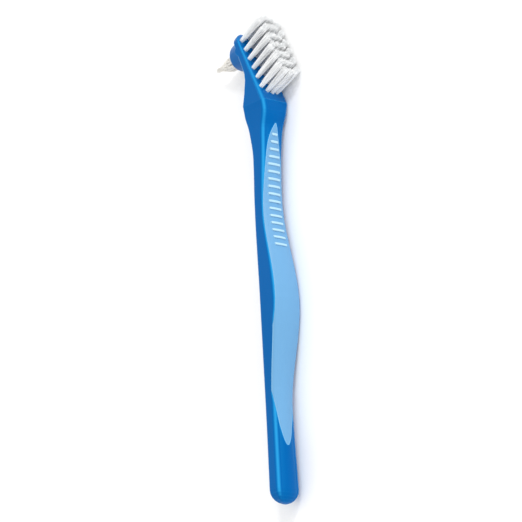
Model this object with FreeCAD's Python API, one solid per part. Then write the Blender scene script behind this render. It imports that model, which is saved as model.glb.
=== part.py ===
import FreeCAD, Part
import math
import os

Vector = FreeCAD.Vector

# A denture brush, lying on its side as it comes to rest.
# +X runs from the handle's end to the tip of the head.
# -Y is the front, where the large bristle field stands, and +Y is the back with the pointed tuft.
# The handle is modelled about its middle plane, and is set down on Z = 0 at the end.

# Length and width of the moulding
overall_length = 178.0
tip_x = 31.3
head_half_width = 6.25
side_skim = 0.05
foot_x = -9.0
foot_half_width = 5.1
slim_x = -19.0
slim_half_width = 4.75
waist_x = -36.0
waist_half_width = 5.0
belly_x = -74.0
belly_half_width = 6.2
tail_x = -112.0
tail_half_width = 4.7
end_half_width = 5.1

# Front of the handle, measured from its axis plane towards +Y
datum_x = -0.3
datum_front = -1.7
brow_x = -2.0
brow_front = -1.0
brow_half_width = 5.75
foot_front = 1.0
slim_front = 2.1
waist_front = 3.1
belly_front = -1.9
tail_front = 3.3
end_front = 2.9

# Back of the handle
brow_back = 11.0
foot_back = 9.6
slim_back = 8.6
waist_back = 8.9
belly_back = 7.3
tail_back = 9.0
end_back = 8.8

# Bulge of front and back at the middle plane, and radii along the handle's edges
front_crown = 0.6
back_crown = 0.5
front_radius = 1.8
back_radius = 1.4
end_round = 5.0
end_cap_steps = 5
end_cap_angle = 80.0
long_step = 4.5
short_step = 1.3

# Head plate, tilted back from the handle, with its flat face measured along the slope
face_tilt = 25.0
face_low = 1.5
face_length = 34.9
tip_round = 5.2
tip_cap_steps = 6
tip_cap_angle = 82.0
tip_thinning = 0.8
tip_lean = 0.4
tip_falloff = 6
tip_corner_room = 2.2
heel_along = 10.0
heel_thickness = 8.0
neck_along = 16.6
neck_thickness = 4.3
tip_thickness = 3.4
tip_front_radius = 0.8
head_step = 2.4

# Boss on the back of the head
boss_x = 23.2
boss_face_gap = 1.0
point_x = 22.2
boss_root_y = 9.0
boss_back = 18.6
boss_root_radius = 7.2
boss_nose_radius = 4.9
boss_edge_radius = 2.2

# Main bristle field: pairs at the sides alternate with bowed rows of three
tuft_diameter = 1.7
tuft_free_length = 11.8
column_pitch = 2.18
pair_rows = 6
pair_first = 7.7
pair_pitch = 4.5
side_first = 6.0
side_pitch = 4.32
middle_first = 5.65
middle_pitch = 4.44
hole_depth = 2.6
hole_clearance = 0.03
hole_mouth = 3.0

# Pointed tuft on the back: a ring of tufts round a middle one, trimmed to a cone
ring_count = 6
ring_radius = 1.95
ring_start_angle = 30.0
back_tuft_diameter = 1.6
back_tuft_length = 12.2
back_cone_radius = 3.0
back_point_radius = 0.4
back_hole_depth = 3.0

# Flat metal anchor across the foot of each tuft
anchor_length = 2.0
anchor_height = 1.0
anchor_thickness = 0.22
anchor_floor_gap = 0.5
anchor_clearance = 0.02

# Soft inlay on the front of the handle
grip_tip_x = -7.3
grip_shoulder_x = -10.0
grip_shoulder_half = 1.45
grip_upper_x = -19.0
grip_upper_half = 3.25
grip_waist_half = 4.55
grip_belly_half = 5.7
grip_tail_half = 4.0
grip_end_x = -126.0
grip_depth = 1.1
grip_fit = 0.03

# Ribs across the inlay
rib_count = 16
rib_first_x = -11.3
rib_pitch = 2.77
rib_half_width = 0.42
rib_proud = 0.3
rib_root = 0.2
rib_first_half = 1.25
rib_full_half = 2.75
rib_grow_count = 4

end_x = tip_x - overall_length
tilt = math.radians(face_tilt)
face_up = Vector(math.cos(tilt), math.sin(tilt), 0)
face_out = Vector(math.sin(tilt), -math.cos(tilt), 0)
datum = Vector(datum_x, datum_front, 0)
across = Vector(0, 0, 1)
backwards = Vector(0, 1, 0)
flat_start = datum + face_up * face_low
bar_start_x = end_x + end_round
cap_start = face_length - tip_round
rough_half_width = head_half_width + side_skim

station_x = [bar_start_x, tail_x, belly_x, waist_x, slim_x, foot_x, brow_x, flat_start.x]
half_widths = [
    end_half_width, tail_half_width, belly_half_width, waist_half_width,
    slim_half_width, foot_half_width, brow_half_width, rough_half_width]
fronts = [
    end_front, tail_front, belly_front, waist_front,
    slim_front, foot_front, brow_front, flat_start.y]
backs = [
    end_back, tail_back, belly_back, waist_back,
    slim_back, foot_back, brow_back, brow_back]


def smooth_line(x, places, values):
    """Value at x of a smooth line through the places, level where it turns back."""
    slopes = []
    for i in range(len(places) - 1):
        slopes.append((values[i + 1] - values[i]) / (places[i + 1] - places[i]))
    tangents = [slopes[0]]
    for before, after in zip(slopes, slopes[1:]):
        turns_back = before * after <= 0
        tangents.append(0.0 if turns_back else 2 * before * after / (before + after))
    tangents.append(slopes[-1])
    i = 0
    while i < len(slopes) - 1 and x > places[i + 1]:
        i += 1
    span = places[i + 1] - places[i]
    s = (x - places[i]) / span
    rise = 3 * s ** 2 - 2 * s ** 3
    leave = (s - 2 * s ** 2 + s ** 3) * span * tangents[i]
    arrive = (s ** 3 - s ** 2) * span * tangents[i + 1]
    return values[i] + (values[i + 1] - values[i]) * rise + leave + arrive


def eased(x, values):
    return smooth_line(x, station_x, values)


def section(middle, inward, half_width, depth, radii, crowns):
    """Rounded section from its front's middle inwards, bulging by the crowns front and back."""
    w = half_width
    rf, rb = radii
    cf, cb = crowns
    corner = 1 - math.sqrt(0.5)

    def at(y, z):
        return middle + inward * y + across * z

    def arc(*places):
        return Part.Arc(*[at(y, z) for y, z in places]).toShape()

    def bulge(y0, z0, crown):
        if crown == 0:
            return Part.makeLine(at(y0, z0), at(y0, -z0))
        return arc((y0, z0), (y0 + crown, 0), (y0, -z0))

    return Part.Wire([
        bulge(0, rf - w, -cf),
        arc((0, w - rf), (rf * corner, w - rf * corner), (rf, w)),
        Part.makeLine(at(rf, w), at(depth - rb, w)),
        arc((depth - rb, w), (depth - rb * corner, w - rb * corner), (depth, w - rb)),
        bulge(depth, w - rb, cb),
        arc((depth, rb - w), (depth - rb * corner, rb * corner - w), (depth - rb, -w)),
        Part.makeLine(at(depth - rb, -w), at(rf, -w)),
        arc((rf, -w), (rf * corner, rf * corner - w), (0, rf - w)),
    ])


def crown_share(x):
    """The bulge of front and back fades out towards the flat face."""
    return min(1.0, max(0.0, (brow_x - x) / (brow_x - foot_x)))


def handle_section(x, size=1.0):
    half_width = eased(x, half_widths) * size
    front = eased(x, fronts)
    back = eased(x, backs)
    depth = (back - front) * size
    middle = Vector(x, (front + back) / 2 - depth / 2, 0)
    radii = (front_radius * size, back_radius * size)
    share = crown_share(x) * size
    crowns = (front_crown * share, back_crown * share)
    return section(middle, backwards, half_width, depth, radii, crowns)


def even_steps(start, finish, step):
    count = max(1, round(abs(finish - start) / step))
    return [start + (finish - start) * k / count for k in range(count)]


def bar_places():
    """Places of the handle's sections, closer together under the head."""
    places = even_steps(bar_start_x, slim_x, long_step)
    places += even_steps(slim_x, foot_x, long_step / 2)
    places += even_steps(foot_x, flat_start.x, short_step)
    return places + [flat_start.x]


def loft(wires):
    return Part.makeLoft(wires, True, True).Solids[0]


def end_sections():
    """Rounded end of the handle, its sections growing along an ellipse."""
    wires = []
    last = math.radians(end_cap_angle)
    for k in range(end_cap_steps, 0, -1):
        angle = last * k / end_cap_steps
        wire = handle_section(bar_start_x, math.cos(angle))
        wire.translate(Vector(-end_round * math.sin(angle) / math.sin(last), 0, 0))
        wires.append(wire)
    return wires


def head_section(along):
    """Section square to the back at the brow, that leans over to stand square to the face."""
    lean = tilt * min(1.0, (along - face_low) / (heel_along - face_low))
    inward = Vector(-math.sin(lean), math.cos(lean), 0)
    places = [face_low, heel_along, neck_along, cap_start]
    thicknesses = [brow_back - flat_start.y, heel_thickness, neck_thickness, tip_thickness]
    depth = smooth_line(along, places, thicknesses)
    share = (along - face_low) / (cap_start - face_low)
    front_round = front_radius + (tip_front_radius - front_radius) * share
    middle = datum + face_up * along
    return section(middle, inward, rough_half_width, depth, (front_round, back_radius), (0, 0))


def tip_section(angle, last):
    """Section of the rounded tip, narrower and thinner as the angle grows."""
    share = math.sin(angle) / math.sin(last)
    half_width = rough_half_width * math.cos(angle)
    size = 1 - tip_thinning * share ** tip_falloff
    thickness = tip_thickness * size
    sink = (tip_thickness - thickness) * tip_lean
    limit = size * min(1.0, half_width / (tip_corner_room * back_radius))
    middle = datum + face_up * (cap_start + tip_round * share) - face_out * sink
    radii = (tip_front_radius * limit, back_radius * limit)
    return section(middle, face_out * -1, half_width, thickness, radii, (0, 0))


def tip_sections():
    last = math.radians(tip_cap_angle)
    return [tip_section(last * k / tip_cap_steps, last) for k in range(1, tip_cap_steps + 1)]


def boss():
    """Round boss behind the head that carries the pointed tuft."""
    base = Vector(boss_x, boss_root_y, 0)
    cone = Part.makeCone(boss_root_radius, boss_nose_radius, boss_back - boss_root_y, base, backwards)
    nose = [edge for edge in cone.Edges if edge.BoundBox.YMin > boss_back - 0.01]
    rounded = cone.makeFillet(boss_edge_radius, nose)
    start = datum - face_out * boss_face_gap - across * boss_root_radius
    corners = [
        start,
        start + face_up * (2 * face_length),
        start + face_up * (2 * face_length) - face_out * (2 * face_length),
        start - face_out * (2 * face_length),
    ]
    outline = Part.Face(Part.makePolygon(corners + [start]))
    return rounded.common(outline.extrude(across * (2 * boss_root_radius))).Solids[0]


def between_sides():
    """Slab between the two flat sides that the head is dressed to."""
    low = Vector(end_x - overall_length / 2, -overall_length / 2, -head_half_width)
    return Part.makeBox(2 * overall_length, overall_length, 2 * head_half_width, low)


def moulding():
    """The hard moulding from the handle's end to the tip of the head, before it is cut."""
    wires = end_sections()
    wires += [handle_section(x) for x in bar_places()]
    wires += [head_section(along) for along in even_steps(face_low, neck_along, head_step)[1:]]
    wires += [head_section(neck_along), head_section(cap_start)]
    wires += tip_sections()
    return loft(wires).fuse(boss()).common(between_sides()).Solids[0]


def grip_outline(inset):
    """Face in the front view that the soft inlay fills, drawn in by the inset."""
    halves = [
        (grip_shoulder_x, grip_shoulder_half),
        (grip_upper_x, grip_upper_half),
        (waist_x, grip_waist_half),
        (belly_x, grip_belly_half),
        (tail_x, grip_tail_half),
    ]
    one_side = [Vector(x, 0, half - inset) for x, half in halves]
    other_side = [Vector(x, 0, inset - half) for x, half in reversed(halves)]
    tip = Vector(grip_tip_x - inset, 0, 0)
    end = Vector(grip_end_x + inset, 0, 0)
    curve = Part.BSplineCurve()
    curve.interpolate(Points=[tip] + one_side + [end] + other_side, PeriodicFlag=True)
    return Part.Face(Part.Wire(curve.toShape()))


def behind_floor(depth):
    """Everything behind a surface that follows the handle's front at the depth."""
    wires = []
    wide = 2 * head_half_width
    for x in [x for x in bar_places() if x < brow_x]:
        front = eased(x, fronts) + depth
        crown = front_crown * crown_share(x)
        flat_half = eased(x, half_widths) - front_radius
        rise = crown * ((wide / flat_half) ** 2 - 1)
        left = Vector(x, front + rise, -wide)
        right = Vector(x, front + rise, wide)
        far = backwards * (3 * wide)
        floor = Part.Arc(left, Vector(x, front - crown, 0), right).toShape()
        far_side = Part.makePolygon([right, right + far, left + far, left])
        wires.append(Part.Wire([floor] + far_side.Edges))
    return loft(wires)


def inlay_room(inset):
    """The room in front of the recess's floor, smaller all round by the inset."""
    face = grip_outline(inset)
    face.translate(backwards * (-3 * head_half_width))
    column = face.extrude(backwards * (6 * head_half_width))
    return column.cut(behind_floor(grip_depth - inset)).Solids[0]


def rib_column(x, half_length):
    """Round-ended column across the inlay, from inside it out past the rib's top."""
    root = eased(x, fronts) + rib_root
    z = half_length - rib_half_width
    near = [Vector(x - rib_half_width, root, z), Vector(x + rib_half_width, root, z)]
    far = [Vector(x + rib_half_width, root, -z), Vector(x - rib_half_width, root, -z)]
    outline = Part.Wire([
        Part.Arc(near[0], Vector(x, root, half_length), near[1]).toShape(),
        Part.makeLine(near[1], far[0]),
        Part.Arc(far[0], Vector(x, root, -half_length), far[1]).toShape(),
        Part.makeLine(far[1], near[0]),
    ])
    return Part.Face(outline).extrude(backwards * (-head_half_width))


def rib_half(k):
    grow = min(1.0, k / rib_grow_count)
    return rib_first_half + (rib_full_half - rib_first_half) * math.sin(grow * math.pi / 2)


def grip(body):
    columns = [rib_column(rib_first_x - rib_pitch * k, rib_half(k)) for k in range(rib_count)]
    ribs = behind_floor(-rib_proud).common(Part.makeCompound(columns)).Solids
    return body.common(inlay_room(grip_fit)).fuse(ribs).Solids[0]


def tuft_places():
    """Distance along the face and across it for each main tuft."""
    places = []
    for k in range(pair_rows + 1):
        side = side_first + side_pitch * k
        middle = middle_first + middle_pitch * k
        places += [(side, -column_pitch), (middle, 0.0), (side, column_pitch)]
        if k < pair_rows:
            pair = pair_first + pair_pitch * k
            places += [(pair, -2 * column_pitch), (pair, 2 * column_pitch)]
    return places


def tuft_feet():
    return [datum + face_up * along + across * over for along, over in tuft_places()]


def ring_feet():
    """Centres of the pointed tuft's holes, on the boss's nose."""
    middle = Vector(point_x, boss_back, 0)
    feet = [middle]
    for k in range(ring_count):
        angle = math.radians(ring_start_angle + 360.0 * k / ring_count)
        feet.append(middle + Vector(math.cos(angle), 0, math.sin(angle)) * ring_radius)
    return feet


def blind_hole(foot, outward, diameter, depth):
    radius = diameter / 2 + hole_clearance
    return Part.makeCylinder(radius, depth + hole_mouth, foot - outward * depth, outward)


def anchor(foot, outward, depth, extra=0.0):
    """Flat strip that crosses the hole above its floor and bites into both walls."""
    sideways = across.cross(outward)
    low = foot - outward * (depth - anchor_floor_gap + extra)
    half_length = anchor_length / 2 + extra
    half_thickness = anchor_thickness / 2 + extra
    height = anchor_height + 2 * extra
    corners = []
    for a, b in ((-1, -1), (1, -1), (1, 1), (-1, 1)):
        corners.append(low + sideways * (a * half_length) + across * (b * half_thickness))
    face = Part.Face(Part.makePolygon(corners + [corners[0]]))
    return face.extrude(outward * height)


def main_tuft(foot):
    """Straight bundle from near its hole's floor, split by its anchor at the foot."""
    root_length = hole_depth - hole_clearance
    bottom = foot - face_out * root_length
    bundle = Part.makeCylinder(
        tuft_diameter / 2, root_length + tuft_free_length, bottom, face_out)
    return bundle.cut(anchor(foot, face_out, hole_depth, anchor_clearance)).Solids[0]


def back_tuft(foot):
    """One bundle of the pointed tuft, cut by the cone that they are all trimmed to."""
    bottom = foot - backwards * (back_hole_depth - hole_clearance)
    length = back_hole_depth + back_tuft_length
    bundle = Part.makeCylinder(back_tuft_diameter / 2, length, bottom, backwards)
    nose = Vector(point_x, boss_back, 0)
    inside = Part.makeCylinder(back_cone_radius, back_hole_depth, nose, backwards * -1)
    outside = Part.makeCone(back_cone_radius, back_point_radius, back_tuft_length, nose, backwards)
    bundle = bundle.common(inside.fuse(outside))
    return bundle.cut(anchor(foot, backwards, back_hole_depth, anchor_clearance)).Solids[0]


def tuft_room(foot, outward, diameter, depth):
    """Blind hole for a tuft, with the slots its anchor bites into the walls."""
    return blind_hole(foot, outward, diameter, depth).fuse(anchor(foot, outward, depth))


def handle(body):
    holes = [tuft_room(foot, face_out, tuft_diameter, hole_depth) for foot in tuft_feet()]
    back_holes = [
        tuft_room(foot, backwards, back_tuft_diameter, back_hole_depth) for foot in ring_feet()]
    return body.cut(inlay_room(0.0)).cut(holes).cut(back_holes).Solids[0]


def build():
    """Every sub-part by name, in the frame of the handle's axis."""
    body = moulding()
    parts = {"handle": handle(body), "grip": grip(body)}
    for k, foot in enumerate(tuft_feet()):
        parts["tuft_%02d" % (k + 1)] = main_tuft(foot)
    for k, foot in enumerate(ring_feet()):
        parts["back_tuft_%d" % (k + 1)] = back_tuft(foot)
    parts["tuft_anchors"] = Part.makeCompound(
        [anchor(foot, face_out, hole_depth) for foot in tuft_feet()])
    parts["back_tuft_anchors"] = Part.makeCompound(
        [anchor(foot, backwards, back_hole_depth) for foot in ring_feet()])
    return parts


def resting_shift(parts):
    """Move that puts the middle of the brush's underside at the origin."""
    box = Part.makeCompound(list(parts.values())).optimalBoundingBox(False)
    return Vector(-(box.XMin + box.XMax) / 2, -(box.YMin + box.YMax) / 2, -box.ZMin)


if __name__ == "__main__":
    os.makedirs("parts", exist_ok=True)
    parts = build()
    shift = resting_shift(parts)
    for name, shape in parts.items():
        shape.translate(shift)
        shape.exportStep("parts/" + name + ".step")
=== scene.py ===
"""Looks of a denture brush: its coloured moulding, soft inlay, bristle filaments and studio."""

import math

import bpy
import numpy as np
from mathutils import Matrix, Vector


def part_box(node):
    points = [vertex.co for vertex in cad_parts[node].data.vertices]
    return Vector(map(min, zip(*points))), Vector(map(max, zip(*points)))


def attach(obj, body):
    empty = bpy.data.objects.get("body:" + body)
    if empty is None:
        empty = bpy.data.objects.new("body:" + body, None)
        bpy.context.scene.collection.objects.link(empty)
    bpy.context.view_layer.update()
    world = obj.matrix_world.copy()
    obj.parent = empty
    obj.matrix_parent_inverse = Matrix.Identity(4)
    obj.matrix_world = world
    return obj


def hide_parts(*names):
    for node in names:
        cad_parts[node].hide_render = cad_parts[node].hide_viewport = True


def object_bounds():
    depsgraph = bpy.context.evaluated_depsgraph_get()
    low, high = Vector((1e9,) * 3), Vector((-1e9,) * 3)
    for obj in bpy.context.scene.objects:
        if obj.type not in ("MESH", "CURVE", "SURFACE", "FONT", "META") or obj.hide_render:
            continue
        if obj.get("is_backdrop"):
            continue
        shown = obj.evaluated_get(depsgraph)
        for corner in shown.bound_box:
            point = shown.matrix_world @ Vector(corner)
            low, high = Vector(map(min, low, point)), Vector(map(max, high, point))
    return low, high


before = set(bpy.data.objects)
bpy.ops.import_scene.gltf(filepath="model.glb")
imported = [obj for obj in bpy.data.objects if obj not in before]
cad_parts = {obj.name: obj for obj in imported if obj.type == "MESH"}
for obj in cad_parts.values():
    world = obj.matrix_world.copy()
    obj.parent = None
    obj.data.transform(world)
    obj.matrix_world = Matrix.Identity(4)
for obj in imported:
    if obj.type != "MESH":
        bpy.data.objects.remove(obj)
cad_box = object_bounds()

bl_info = {
    "name": "Denture brush",
    "version": (1, 0, 0),
    "blender": (4, 5, 0),
    "location": "View3D > Sidebar > Brush",
    "description": "Dresses the denture brush and its studio",
    "category": "Object",
}

MM = 0.001
SEED = 7
BACK_SEED = 107
MAIN_TUFTS = ["tuft_%02d" % (k + 1) for k in range(33)]
BACK_TUFTS = ["back_tuft_%d" % (k + 1) for k in range(7)]

# The head's face looks forwards and a little towards its tip
FACE_TILT = math.radians(25.0)
FACE_OUT = Vector((math.sin(FACE_TILT), -math.cos(FACE_TILT), 0.0))
BACKWARDS = Vector((0.0, 1.0, 0.0))


def colour(name, default, description):
    return bpy.props.FloatVectorProperty(
        name=name, description=description, default=default,
        size=4, min=0.0, max=1.0, subtype="COLOR")


def length(name, millimetres, description):
    return bpy.props.FloatProperty(
        name=name, description=description, default=millimetres * MM,
        min=0.0, precision=5, subtype="DISTANCE", unit="LENGTH")


def share(name, default, description):
    return bpy.props.FloatProperty(
        name=name, description=description, default=default,
        min=0.0, max=1.0, subtype="FACTOR")


class BrushColours(bpy.types.PropertyGroup):
    """Colours of the brush's materials."""

    handle: colour("Handle", (0.0, 0.110, 0.375, 1.0), "Blue of the hard moulding")
    # Painted highlight: a paler blue laid along the moulding's edges and ridges where light catches
    # them
    handle_highlight: colour("Handle edge", (0.04, 0.46, 0.87, 1.0), "Paler blue along its edges")
    grip: colour("Grip", (0.12, 0.34, 0.60, 1.0), "Pale blue of the soft inlay")
    # Painted highlight: a paler tone laid on the rib tops and along the inlay's edges
    grip_highlight: colour("Grip edge", (0.42, 0.66, 0.78, 1.0), "Paler tone of its rib tops")
    bristle: colour("Bristle", (0.97, 0.97, 0.965, 1.0), "White of the main bristles")
    # Bristle shade tints randomly darker filaments and is also the painted bluish shade at the roots
    bristle_shade: colour("Bristle shade", (0.86, 0.92, 0.97, 1.0), "Tone of darker filaments")
    back_bristle: colour("Back bristle", (0.93, 0.91, 0.86, 1.0), "Off-white of the pointed tuft")
    # Back shade tints randomly darker filaments and is also the painted shade at the roots
    back_shade: colour("Back shade", (0.82, 0.78, 0.70, 1.0), "Tone of its darker filaments")
    anchor: colour("Anchor", (0.72, 0.55, 0.25, 1.0), "Brass of the hidden anchors")
    floor: colour("Floor", (1.0, 1.0, 1.0, 1.0), "Pale floor")


class BrushFilaments(bpy.types.PropertyGroup):
    """Sizes of the bristle filaments."""

    diameter: length("Diameter", 0.2, "Thickness of one filament")
    count: bpy.props.IntProperty(
        name="Count", description="Filaments in one tuft", default=60, min=6, max=120)
    root_radius: length("Root radius", 0.84, "Radius of a main tuft at its hole")
    flare: bpy.props.FloatProperty(
        name="Flare", description="How much wider a tuft is at its tip", default=1.78,
        min=1.0, max=2.4)
    back_flare: bpy.props.FloatProperty(
        name="Back flare", description="How much wider a back tuft grows", default=1.55,
        min=1.0, max=2.4)
    free_length: length("Free length", 11.8, "Main filament outside its hole")
    sunk_length: length("Sunk length", 2.57, "Main tuft inside its hole")
    uneven: length("Uneven ends", 0.25, "Scatter of the filaments' lengths and tips")
    bend: length("Bend", 0.16, "Sideways bow of a filament at its tip")
    back_root_radius: length("Back root radius", 0.8, "Radius of a back tuft at its hole")
    back_length: length("Back length", 12.2, "Longest filament of the pointed tuft")
    back_sunk: length("Back sunk length", 2.97, "Back tuft inside its hole")
    cone_radius: length("Cone radius", 3.0, "Radius of the pointed tuft's cone at its foot")
    cone_point: length("Cone point", 0.4, "Radius of the cone at its point")
    back_fullness: share("Back fullness", 0.6, "How full the pointed tuft's cone is, lower is fuller")
    gather: share("Gather", 0.30, "How far the pointed tuft draws together")


class BrushStudio(bpy.types.PropertyGroup):
    """Camera and light."""

    lens: bpy.props.FloatProperty(
        name="Lens", description="Focal length in millimetres", default=230.0, min=20.0)
    sensor: bpy.props.FloatProperty(
        name="Sensor", description="Sensor width in millimetres", default=36.0, min=5.0)
    distance: length("Distance", 1200.0, "Camera to the middle of the picture")
    aim_x: length("Aim X", 0.0, "Picture's middle along the brush")
    key_power: bpy.props.FloatProperty(
        name="Key", description="Power of the key light", default=2.6, min=0.0)
    edge_power: bpy.props.FloatProperty(
        name="Edge", description="Power of the small light that runs along the edges",
        default=1.6, min=0.0)
    fill_power: bpy.props.FloatProperty(
        name="Fill", description="Power of the fill light", default=0.8, min=0.0)
    sky: bpy.props.FloatProperty(
        name="Sky", description="Strength of the white surround", default=0.95, min=0.0)
    floor_size: length("Floor size", 6000.0, "Side of the square floor")


def put(tree, kind, place, **inputs):
    """Adds a node at a place and sets its plain inputs."""
    node = tree.nodes.new(kind)
    node.location = place
    for name, value in inputs.items():
        node.inputs[name.replace("_", " ")].default_value = value
    return node


def group(name, inputs, outputs):
    """Empty node group with named sockets, its input node and its output node."""
    tree = bpy.data.node_groups.new(name, "ShaderNodeTree")
    for label, kind, default in inputs:
        socket = tree.interface.new_socket(label, in_out="INPUT", socket_type=kind)
        socket.default_value = default
    for label, kind in outputs:
        tree.interface.new_socket(label, in_out="OUTPUT", socket_type=kind)
    start = tree.nodes.new("NodeGroupInput")
    start.location = (-600, 0)
    end = tree.nodes.new("NodeGroupOutput")
    end.location = (600, 0)
    return tree, start, end


def reckon(tree, operation, place, *values, clamp=False):
    """Math node fed by sockets or numbers; gives its output socket."""
    node = put(tree, "ShaderNodeMath", place)
    node.operation = operation
    node.use_clamp = clamp
    for socket, value in zip(node.inputs, values):
        if isinstance(value, bpy.types.NodeSocket):
            tree.links.new(value, socket)
        else:
            socket.default_value = value
    return node.outputs["Value"]


def edge_group():
    """Mask that is bright where the surface turns over an edge."""
    tree, start, end = group(
        "Edge Mask",
        [("Radius", "NodeSocketFloat", 0.6 * MM), ("Sharpness", "NodeSocketFloat", 6.0)],
        [("Mask", "NodeSocketFloat")])
    bevel = put(tree, "ShaderNodeBevel", (-360, 120))
    bevel.samples = 6
    geometry = put(tree, "ShaderNodeNewGeometry", (-360, -120))
    dot = put(tree, "ShaderNodeVectorMath", (-160, 0))
    dot.operation = "DOT_PRODUCT"
    turn = reckon(tree, "SUBTRACT", (20, 0), 1.0, dot.outputs["Value"])
    scale = reckon(
        tree, "MULTIPLY", (200, 0), turn, start.outputs["Sharpness"], clamp=True)
    link = tree.links.new
    link(start.outputs["Radius"], bevel.inputs["Radius"])
    link(bevel.outputs["Normal"], dot.inputs[0])
    link(geometry.outputs["Normal"], dot.inputs[1])
    link(scale, end.inputs["Mask"])
    return tree


def ridge_group():
    """Mask of the rounded ridges between the front or back and the sides, full at 45 degrees."""
    tree, start, end = group(
        "Ridge Mask", [("Sharpness", "NodeSocketFloat", 3.0)], [("Mask", "NodeSocketFloat")])
    place = put(tree, "ShaderNodeTexCoord", (-420, 0))
    parts = put(tree, "ShaderNodeSeparateXYZ", (-260, 0))
    tree.links.new(place.outputs["Normal"], parts.inputs["Vector"])
    product = reckon(tree, "MULTIPLY", (-80, 0), parts.outputs["Y"], parts.outputs["Z"])
    size = reckon(tree, "ABSOLUTE", (80, 0), product)
    double = reckon(tree, "MULTIPLY", (240, 0), size, 2.0)
    narrow = reckon(tree, "POWER", (400, 0), double, start.outputs["Sharpness"])
    tree.links.new(narrow, end.inputs["Mask"])
    return tree


def rib_group():
    """Mask of the tops of even ribs, the first few of which grow longer."""
    number = "NodeSocketFloat"
    tree, start, end = group(
        "Rib Tops",
        [("First", number, 44.689 * MM), ("Pitch", number, 2.77 * MM), ("Last", number, 15.0),
         ("Half Width", number, 0.42 * MM), ("First Half", number, 1.25 * MM),
         ("Growth", number, 1.5 * MM), ("Growing", number, 4.0),
         ("Middle", number, 6.25 * MM), ("Softness", number, 0.08 * MM)],
        [("Mask", number)])
    given = start.outputs
    place = put(tree, "ShaderNodeTexCoord", (-1300, -200))
    parts = put(tree, "ShaderNodeSeparateXYZ", (-1100, -200))
    tree.links.new(place.outputs["Object"], parts.inputs["Vector"])
    past = reckon(tree, "SUBTRACT", (-900, 0), given["First"], parts.outputs["X"])
    step = reckon(tree, "DIVIDE", (-740, 0), past, given["Pitch"])
    whole = reckon(tree, "ROUND", (-580, 100), step)
    floored = reckon(tree, "MAXIMUM", (-420, 100), whole, 0.0)
    nearest = reckon(tree, "MINIMUM", (-260, 100), floored, given["Last"])
    off = reckon(tree, "SUBTRACT", (-100, 0), step, nearest)
    off = reckon(tree, "MULTIPLY", (60, 0), off, given["Pitch"])
    off = reckon(tree, "ABSOLUTE", (220, 0), off)
    inside = reckon(tree, "SUBTRACT", (380, 0), given["Half Width"], off)
    along = reckon(tree, "DIVIDE", (540, 0), inside, given["Softness"], clamp=True)
    grown = reckon(tree, "DIVIDE", (-100, -200), nearest, given["Growing"], clamp=True)
    half = reckon(tree, "MULTIPLY_ADD", (60, -200), grown, given["Growth"], given["First Half"])
    aside = reckon(tree, "SUBTRACT", (-100, -400), parts.outputs["Z"], given["Middle"])
    aside = reckon(tree, "ABSOLUTE", (60, -400), aside)
    inside = reckon(tree, "SUBTRACT", (380, -300), half, aside)
    across = reckon(tree, "DIVIDE", (540, -300), inside, given["Softness"], clamp=True)
    mask = reckon(tree, "MULTIPLY", (700, -100), along, across)
    tree.links.new(mask, end.inputs["Mask"])
    return tree


def drift_group():
    """Colour that drifts a little from place to place."""
    tree, start, end = group(
        "Colour Drift",
        [("Colour", "NodeSocketColor", (0.5, 0.5, 0.5, 1.0)),
         ("Scale", "NodeSocketFloat", 60.0), ("Amount", "NodeSocketFloat", 0.05)],
        [("Colour", "NodeSocketColor")])
    place = put(tree, "ShaderNodeTexCoord", (-400, -160))
    noise = put(tree, "ShaderNodeTexNoise", (-200, -100), Detail=4.0, Roughness=0.55)
    centre = reckon(tree, "SUBTRACT", (0, -100), noise.outputs["Fac"], 0.5)
    swing = reckon(tree, "MULTIPLY_ADD", (160, -100), centre, start.outputs["Amount"], 1.0)
    shade = put(tree, "ShaderNodeHueSaturation", (360, 60))
    link = tree.links.new
    link(place.outputs["Object"], noise.inputs["Vector"])
    link(start.outputs["Scale"], noise.inputs["Scale"])
    link(swing, shade.inputs["Value"])
    link(start.outputs["Colour"], shade.inputs["Color"])
    link(shade.outputs["Color"], end.inputs["Colour"])
    return tree


def texture_group():
    """Fine moulded surface as a normal, with slow waves under a fine grain."""
    tree, start, end = group(
        "Moulded Surface",
        [("Grain Scale", "NodeSocketFloat", 1800.0), ("Grain", "NodeSocketFloat", 0.1),
         ("Wave Scale", "NodeSocketFloat", 90.0), ("Wave", "NodeSocketFloat", 0.05)],
        [("Normal", "NodeSocketVector")])
    place = put(tree, "ShaderNodeTexCoord", (-400, -160))
    wave = put(tree, "ShaderNodeTexNoise", (-200, 120), Detail=2.0)
    grain = put(tree, "ShaderNodeTexNoise", (-200, -140), Detail=3.0)
    low = put(tree, "ShaderNodeBump", (60, 120), Distance=0.3 * MM)
    high = put(tree, "ShaderNodeBump", (300, -40), Distance=0.03 * MM)
    link = tree.links.new
    link(place.outputs["Object"], wave.inputs["Vector"])
    link(place.outputs["Object"], grain.inputs["Vector"])
    link(start.outputs["Wave Scale"], wave.inputs["Scale"])
    link(start.outputs["Grain Scale"], grain.inputs["Scale"])
    link(start.outputs["Wave"], low.inputs["Strength"])
    link(start.outputs["Grain"], high.inputs["Strength"])
    link(wave.outputs["Fac"], low.inputs["Height"])
    link(grain.outputs["Fac"], high.inputs["Height"])
    link(low.outputs["Normal"], high.inputs["Normal"])
    link(high.outputs["Normal"], end.inputs["Normal"])
    return tree


def effect(name, make):
    """The shared node group of that name, made the first time it is asked for."""
    return bpy.data.node_groups.get(name) or make()


def use_group(tree, name, make, place, **inputs):
    """Places a shared node group in a material, with its own values."""
    node = put(tree, "ShaderNodeGroup", place)
    node.node_tree = effect(name, make)
    for label, value in inputs.items():
        node.inputs[label.replace("_", " ")].default_value = value
    return node


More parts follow.
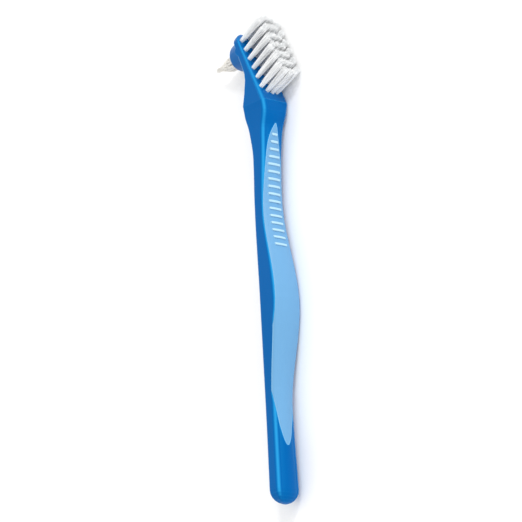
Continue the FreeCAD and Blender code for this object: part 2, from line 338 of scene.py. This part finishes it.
def new_material(name, **settings):
    """Material with one principled shader; uniform values stand on its own sockets."""
    material = bpy.data.materials.new(name)
    material.use_nodes = True
    shader = material.node_tree.nodes["Principled BSDF"]
    for label, value in settings.items():
        shader.inputs[label.replace("_", " ")].default_value = value
    return material, material.node_tree, shader


# How narrow the painted highlight along the moulding's ridges is
RIDGE_SHARPNESS = 4.0


def plastic(name, base, edge, painted_highlight, drift, texture, ribs=False, **settings):
    """Moulded material: drifting colour, a painted highlight in a paler colour along its edges and
    its ridges or rib tops, and a skin.
    """
    material, tree, shader = new_material(name, **settings)
    colours = use_group(tree, "Colour Drift", drift_group, (-700, 200), **drift)
    colours.inputs["Colour"].default_value = base
    mask = use_group(
        tree, "Edge Mask", edge_group, (-700, -60),
        Radius=painted_highlight["radius"], Sharpness=painted_highlight["sharpness"])
    if ribs:
        form = use_group(tree, "Rib Tops", rib_group, (-700, -300))
    else:
        form = use_group(
            tree, "Ridge Mask", ridge_group, (-700, -300), Sharpness=RIDGE_SHARPNESS)
    # The edge mask with the ridge or rib-top mask marks where the painted highlight goes
    either = reckon(
        tree, "MAXIMUM", (-600, -160), mask.outputs["Mask"], form.outputs["Mask"])
    soften = reckon(tree, "MULTIPLY", (-500, -60), either, painted_highlight["share"])
    # Mixes the paler colour in there as a painted highlight
    mix = put(tree, "ShaderNodeMix", (-300, 160))
    mix.data_type = "RGBA"
    mix.inputs["B"].default_value = edge
    skin = use_group(tree, "Moulded Surface", texture_group, (-300, -220), **texture)
    link = tree.links.new
    link(soften, mix.inputs["Factor"])
    link(colours.outputs["Colour"], mix.inputs["A"])
    link(mix.outputs["Result"], shader.inputs["Base Color"])
    link(skin.outputs["Normal"], shader.inputs["Normal"])
    return material


# How far single filaments differ in tone at random, and how far up a tuft the painted shade at the
# roots reaches
STRAND_SHARE = 0.35
ROOT_SHADE_REACH = 0.45
# How strong the painted shade at the roots is, for the main and the back tufts
MAIN_ROOT_SHADE = 0.45
BACK_ROOT_SHADE = 0.3


def filament_material(name, light, dark, root_shade_share):
    """Nylon whose filaments differ a little at random, with painted shade darkening them down among
    their roots.
    """
    material, tree, shader = new_material(
        name, Roughness=0.5, Subsurface_Weight=0.15, Subsurface_Radius=(1.0, 1.0, 1.0),
        Subsurface_Scale=0.2 * MM)
    strand = put(tree, "ShaderNodeAttribute", (-900, 160))
    strand.attribute_name = "strand"
    along = put(tree, "ShaderNodeAttribute", (-900, -120))
    along.attribute_name = "along"
    vary = put(tree, "ShaderNodeMapRange", (-660, 160), To_Max=STRAND_SHARE)
    # Painted shade: darker towards the roots, where the filaments shade one another
    root = put(
        tree, "ShaderNodeMapRange", (-660, -120),
        From_Max=ROOT_SHADE_REACH, To_Min=root_shade_share, To_Max=0.0)
    total = reckon(
        tree, "ADD", (-440, 40), vary.outputs["Result"], root.outputs["Result"], clamp=True)
    mix = put(tree, "ShaderNodeMix", (-240, 120))
    mix.data_type = "RGBA"
    mix.inputs["A"].default_value = light
    mix.inputs["B"].default_value = dark
    link = tree.links.new
    link(strand.outputs["Fac"], vary.inputs["Value"])
    link(along.outputs["Fac"], root.inputs["Value"])
    link(total, mix.inputs["Factor"])
    link(mix.outputs["Result"], shader.inputs["Base Color"])
    return material


def paint(node, material):
    """Gives a CAD node its material."""
    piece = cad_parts[node]
    piece.data.materials.clear()
    piece.data.materials.append(material)


def cross_axes(outward):
    """Two directions square to the outward one."""
    first = outward.cross(Vector((0.0, 0.0, 1.0))).normalized()
    return first, outward.cross(first).normalized()


def packed_spots(count, radius):
    """Spots spread evenly over a disc, in a sunflower's order."""
    turn = math.pi * (3.0 - math.sqrt(5.0))
    for k in range(count):
        reach = radius * math.sqrt((k + 0.5) / count)
        yield reach * math.cos(turn * k), reach * math.sin(turn * k)


# Rings of one filament: where they stand along it and how thick it is there
RINGS = (-0.12, 0.0, 0.2, 0.45, 0.7, 0.9, 0.975, 1.0)
RING_SIZES = (1.0, 1.0, 1.0, 1.0, 1.0, 1.0, 0.92, 0.55)
SIDES = 6
TIP_ROUND = 0.5

# Shortest filament of the pointed tuft, and how much of a filament's stray and bow it keeps
SHORTEST = 0.12
MAIN_STRAY = 0.5
BACK_STRAY = 0.4
BACK_BOW = 0.5


def filament(foot, tip, bow, outward, radius):
    """Vertices and faces of one round filament that bows towards its tip."""
    first, second = cross_axes(outward)
    verts = []
    along = []
    for t, size in zip(RINGS, RING_SIZES):
        middle = foot + (tip - foot) * t + bow * (max(t, 0.0) ** 2 - max(t, 0.0))
        for s in range(SIDES):
            angle = 2.0 * math.pi * s / SIDES
            around = first * math.cos(angle) + second * math.sin(angle)
            verts.append(middle + around * (radius * size))
            along.append(max(t, 0.0))
    verts.append(tip + (tip - foot).normalized() * (radius * TIP_ROUND))
    along.append(1.0)
    faces = []
    for ring in range(len(RINGS) - 1):
        for s in range(SIDES):
            a = ring * SIDES + s
            b = ring * SIDES + (s + 1) % SIDES
            faces.append((a, b, b + SIDES, a + SIDES))
    last = (len(RINGS) - 1) * SIDES
    for s in range(SIDES):
        faces.append((last + s, last + (s + 1) % SIDES, len(verts) - 1))
    return verts, faces, along


def bundle(name, node, strands, outward, radius, material, dice):
    """One object made of filaments, that stands for the CAD tuft."""
    verts, faces, along, shade = [], [], [], []
    for foot, tip, bow in strands:
        points, sides, places = filament(foot, tip, bow, outward, radius)
        start = len(verts)
        verts += points
        faces += [tuple(start + i for i in face) for face in sides]
        along += places
        shade += [dice.random()] * len(points)
    mesh = bpy.data.meshes.new(name)
    mesh.from_pydata(verts, [], faces)
    mesh.shade_smooth()
    mesh.attributes.new("along", "FLOAT", "POINT").data.foreach_set("value", along)
    mesh.attributes.new("strand", "FLOAT", "POINT").data.foreach_set("value", shade)
    mesh.materials.append(material)
    piece = bpy.data.objects.new(name, mesh)
    bpy.context.scene.collection.objects.link(piece)
    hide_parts(node)
    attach(piece, "root")


def main_strands(foot, sizes, dice):
    """Foot, tip and bow of each filament in a tuft of the head's face."""
    first, second = cross_axes(FACE_OUT)
    for u, v in packed_spots(sizes.count, sizes.root_radius - sizes.diameter / 2):
        aside = first * u + second * v
        stray = first * dice.normal(0, sizes.uneven) + second * dice.normal(0, sizes.uneven)
        reach = sizes.free_length + dice.normal(0, sizes.uneven)
        tip = foot + aside * sizes.flare + stray * MAIN_STRAY + FACE_OUT * reach
        bow = stray.normalized() * (sizes.bend * dice.random())
        yield foot + aside, tip, bow


def back_strands(foot, centre, sizes, dice):
    """Filaments of the pointed tuft, each cut where it meets the cone."""
    first, second = cross_axes(BACKWARDS)
    for u, v in packed_spots(sizes.count, sizes.back_root_radius - sizes.diameter / 2):
        start = foot + first * u + second * v
        outwards = start - centre
        off_axis = outwards.length
        taper = (sizes.cone_radius - off_axis) / (sizes.cone_radius - sizes.cone_point)
        fullness = min(1.0, max(SHORTEST, taper)) ** sizes.back_fullness
        reach = sizes.back_length * fullness + dice.normal(0, sizes.uneven)
        stray = first * dice.normal(0, sizes.uneven) + second * dice.normal(0, sizes.uneven)
        drawn = outwards * (-sizes.gather * reach / sizes.back_length)
        spread = (first * u + second * v) * (sizes.back_flare - 1.0)
        tip = start + spread + drawn + stray * BACK_STRAY + BACKWARDS * reach
        yield start, tip, stray.normalized() * (sizes.bend * BACK_BOW)


def node_middle(node):
    """Middle of a CAD node's box."""
    low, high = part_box(node)
    return (low + high) / 2


def foot_of(node, outward, sunk, free):
    """Where a tuft leaves its hole, from the middle of its CAD node."""
    return node_middle(node) - outward * ((sunk + free) / 2 - sunk)


class BRUSH_OT_handle(bpy.types.Operator):
    """Paint the hard moulding"""

    bl_idname = "brush.handle"
    bl_label = "Handle"

    def execute(self, context):
        colours = context.scene.brush_colours
        material = plastic(
            "Handle plastic", colours.handle, colours.handle_highlight,
            # Painted highlight along the edges and ridges: its share, width and sharpness
            {"share": 0.55, "radius": 0.6 * MM, "sharpness": 14.0},
            {"Scale": 35.0, "Amount": 0.10},
            {"Grain_Scale": 2600.0, "Grain": 0.12, "Wave_Scale": 70.0, "Wave": 0.05},
            Roughness=0.28, Specular_IOR_Level=0.15, Specular_Tint=(0.1, 0.6, 1.0, 1.0))
        paint("handle", material)
        return {"FINISHED"}


class BRUSH_OT_grip(bpy.types.Operator):
    """Paint the soft ribbed inlay"""

    bl_idname = "brush.grip"
    bl_label = "Grip"

    def execute(self, context):
        colours = context.scene.brush_colours
        material = plastic(
            "Grip rubber", colours.grip, colours.grip_highlight,
            # Painted highlight along the inlay's edges and on its rib tops: its share, width and
            # sharpness
            {"share": 0.95, "radius": 0.3 * MM, "sharpness": 8.0},
            {"Scale": 45.0, "Amount": 0.08},
            {"Grain_Scale": 3200.0, "Grain": 0.3, "Wave_Scale": 110.0, "Wave": 0.05},
            ribs=True, Roughness=0.52, Sheen_Weight=0.15)
        paint("grip", material)
        return {"FINISHED"}


class BRUSH_OT_tufts(bpy.types.Operator):
    """Grow the filaments of the main tufts"""

    bl_idname = "brush.tufts"
    bl_label = "Main tufts"

    def execute(self, context):
        colours = context.scene.brush_colours
        sizes = context.scene.brush_filaments
        material = filament_material(
            "Bristle nylon", colours.bristle, colours.bristle_shade, MAIN_ROOT_SHADE)
        for k, node in enumerate(MAIN_TUFTS):
            dice = np.random.default_rng(SEED + k)
            foot = foot_of(node, FACE_OUT, sizes.sunk_length, sizes.free_length)
            strands = main_strands(foot, sizes, dice)
            bundle(
                node + "_filaments", node, strands, FACE_OUT, sizes.diameter / 2,
                material, dice)
        return {"FINISHED"}


class BRUSH_OT_back_tuft(bpy.types.Operator):
    """Grow the filaments of the pointed tuft"""

    bl_idname = "brush.back_tuft"
    bl_label = "Pointed tuft"

    def execute(self, context):
        colours = context.scene.brush_colours
        sizes = context.scene.brush_filaments
        material = filament_material(
            "Back bristle nylon", colours.back_bristle, colours.back_shade,
            BACK_ROOT_SHADE)
        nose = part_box(BACK_TUFTS[0])[0].y + sizes.back_sunk
        centre = node_middle(BACK_TUFTS[0])
        centre.y = nose
        for k, node in enumerate(BACK_TUFTS):
            dice = np.random.default_rng(BACK_SEED + k)
            foot = node_middle(node)
            foot.y = nose
            strands = back_strands(foot, centre, sizes, dice)
            bundle(
                node + "_filaments", node, strands, BACKWARDS, sizes.diameter / 2,
                material, dice)
        return {"FINISHED"}


class BRUSH_OT_anchors(bpy.types.Operator):
    """Paint the anchors hidden in the holes"""

    bl_idname = "brush.anchors"
    bl_label = "Anchors"

    def execute(self, context):
        colours = context.scene.brush_colours
        material, tree, shader = new_material("Anchor brass", Metallic=1.0, Roughness=0.3)
        drift = use_group(tree, "Colour Drift", drift_group, (-300, 100), Scale=900.0, Amount=0.2)
        drift.inputs["Colour"].default_value = colours.anchor
        tree.links.new(drift.outputs["Colour"], shader.inputs["Base Color"])
        paint("tuft_anchors", material)
        paint("back_tuft_anchors", material)
        return {"FINISHED"}


# The picture's own right and up, as directions in the brush's frame
PICTURE_RIGHT = Vector((-0.051, -0.640, -0.766)).normalized()
PICTURE_UP = Vector((0.9575, -0.248, 0.1445)).normalized()
AIM_ACROSS = 2.0 * MM
AIM_HEIGHT = 6.0 * MM

# Name, place, width and tint of each lamp
LAMPS = (
    ("Key", (0.65, -0.75, 0.35), 0.5, (1.0, 0.99, 0.97)),
    ("Edge", (0.50, -0.50, 0.65), 0.16, (1.0, 1.0, 1.0)),
    ("Fill", (-0.35, -0.90, 0.25), 0.8, (0.95, 0.98, 1.0)),
)
FLOOR_GAP = 0.02 * MM
CAMERA_REACH = 20.0


def area_light(name, place, target, size, power, tint):
    """Round soft lamp that looks at its target."""
    light = bpy.data.lights.new(name, "AREA")
    light.shape = "DISK"
    light.size = size
    light.energy = power
    light.color = tint
    lamp = bpy.data.objects.new(name, light)
    lamp.location = place
    lamp.rotation_euler = (target - place).to_track_quat("-Z", "Y").to_euler()
    bpy.context.scene.collection.objects.link(lamp)


def white_world(sky):
    """White background for the camera, and a softer surround for the light."""
    world = bpy.data.worlds.new("Studio")
    world.use_nodes = True
    tree = world.node_tree
    tree.nodes.clear()
    path = put(tree, "ShaderNodeLightPath", (-800, 200))
    seen_by = path.outputs
    mirrored = reckon(
        tree, "MAXIMUM", (-500, 160), seen_by["Is Glossy Ray"], seen_by["Is Transmission Ray"])
    shown = reckon(tree, "MAXIMUM", (-300, 240), seen_by["Is Camera Ray"], mirrored)
    surround = put(tree, "ShaderNodeBackground", (-200, 60), Strength=sky)
    surround.inputs["Color"].default_value = (1.0, 1.0, 1.0, 1.0)
    seen = put(tree, "ShaderNodeBackground", (-200, -100), Strength=1.0)
    seen.inputs["Color"].default_value = (1.0, 1.0, 1.0, 1.0)
    mix = put(tree, "ShaderNodeMixShader", (60, 60))
    end = put(tree, "ShaderNodeOutputWorld", (260, 60))
    tree.links.new(shown, mix.inputs["Fac"])
    tree.links.new(surround.outputs["Background"], mix.inputs[1])
    tree.links.new(seen.outputs["Background"], mix.inputs[2])
    tree.links.new(mix.outputs["Shader"], end.inputs["Surface"])
    bpy.context.scene.world = world


def studio_floor(size, tint):
    """Matt floor just under the brush."""
    half = size / 2
    mesh = bpy.data.meshes.new("floor")
    corners = [(-half, -half, 0.0), (half, -half, 0.0), (half, half, 0.0), (-half, half, 0.0)]
    mesh.from_pydata(corners, [], [(0, 1, 2, 3)])
    floor = bpy.data.objects.new("floor", mesh)
    floor.location.z = cad_box[0].z - FLOOR_GAP
    material, tree, shader = new_material("Floor", Roughness=0.9)
    shader.inputs["Base Color"].default_value = tint
    shader.inputs["Specular IOR Level"].default_value = 0.0
    mesh.materials.append(material)
    bpy.context.scene.collection.objects.link(floor)
    floor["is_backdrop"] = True


class BRUSH_OT_studio(bpy.types.Operator):
    """Set up the floor, the lights and the camera"""

    bl_idname = "brush.studio"
    bl_label = "Studio"

    def execute(self, context):
        scene = context.scene
        studio = scene.brush_studio
        middle = (cad_box[0] + cad_box[1]) / 2
        aim = Vector((middle.x + studio.aim_x, middle.y + AIM_ACROSS, AIM_HEIGHT))
        towards = PICTURE_RIGHT.cross(PICTURE_UP).normalized()
        camera = bpy.data.cameras.new("Camera")
        camera.lens = studio.lens
        camera.sensor_width = studio.sensor
        camera.clip_end = CAMERA_REACH
        eye = bpy.data.objects.new("Camera", camera)
        turn = Matrix((PICTURE_RIGHT, towards.cross(PICTURE_RIGHT), towards)).transposed()
        eye.matrix_world = Matrix.Translation(aim + towards * studio.distance) @ turn.to_4x4()
        scene.collection.objects.link(eye)
        scene.camera = eye
        studio_floor(studio.floor_size, scene.brush_colours.floor)
        white_world(studio.sky)
        powers = (studio.key_power, studio.edge_power, studio.fill_power)
        for (name, place, size, tint), power in zip(LAMPS, powers):
            area_light(name, Vector(place), aim, size, power, tint)
        scene.view_settings.view_transform = "Standard"
        return {"FINISHED"}


class BRUSH_PT_panel(bpy.types.Panel):
    """Sidebar panel of the brush"""

    bl_label = "Denture brush"
    bl_idname = "BRUSH_PT_panel"
    bl_space_type = "VIEW_3D"
    bl_region_type = "UI"
    bl_category = "Brush"

    def draw(self, context):
        scene = context.scene
        for settings in (scene.brush_colours, scene.brush_filaments, scene.brush_studio):
            box = self.layout.box()
            for name in settings.__annotations__:
                box.prop(settings, name)
        for operator in OPERATORS:
            self.layout.operator(operator.bl_idname)


OPERATORS = (
    BRUSH_OT_handle, BRUSH_OT_grip, BRUSH_OT_tufts,
    BRUSH_OT_back_tuft, BRUSH_OT_anchors, BRUSH_OT_studio)
SETTINGS = (BrushColours, BrushFilaments, BrushStudio)


def register():
    for cls in SETTINGS + OPERATORS + (BRUSH_PT_panel,):
        bpy.utils.register_class(cls)
    bpy.types.Scene.brush_colours = bpy.props.PointerProperty(type=BrushColours)
    bpy.types.Scene.brush_filaments = bpy.props.PointerProperty(type=BrushFilaments)
    bpy.types.Scene.brush_studio = bpy.props.PointerProperty(type=BrushStudio)


def unregister():
    del bpy.types.Scene.brush_studio
    del bpy.types.Scene.brush_filaments
    del bpy.types.Scene.brush_colours
    for cls in reversed(SETTINGS + OPERATORS + (BRUSH_PT_panel,)):
        bpy.utils.unregister_class(cls)


def write_sizes():
    """Sets the CAD's box and the dressed object's box side by side; nothing is written out."""
    boxes = {"cad": cad_box, "visual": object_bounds()}
    plain = {name: [list(corner) for corner in box] for name, box in boxes.items()}


def main():
    register()
    bpy.ops.brush.handle()
    bpy.ops.brush.grip()
    bpy.ops.brush.tufts()
    bpy.ops.brush.back_tuft()
    bpy.ops.brush.anchors()
    bpy.ops.brush.studio()
    write_sizes()


if __name__ == "__main__":
    main()
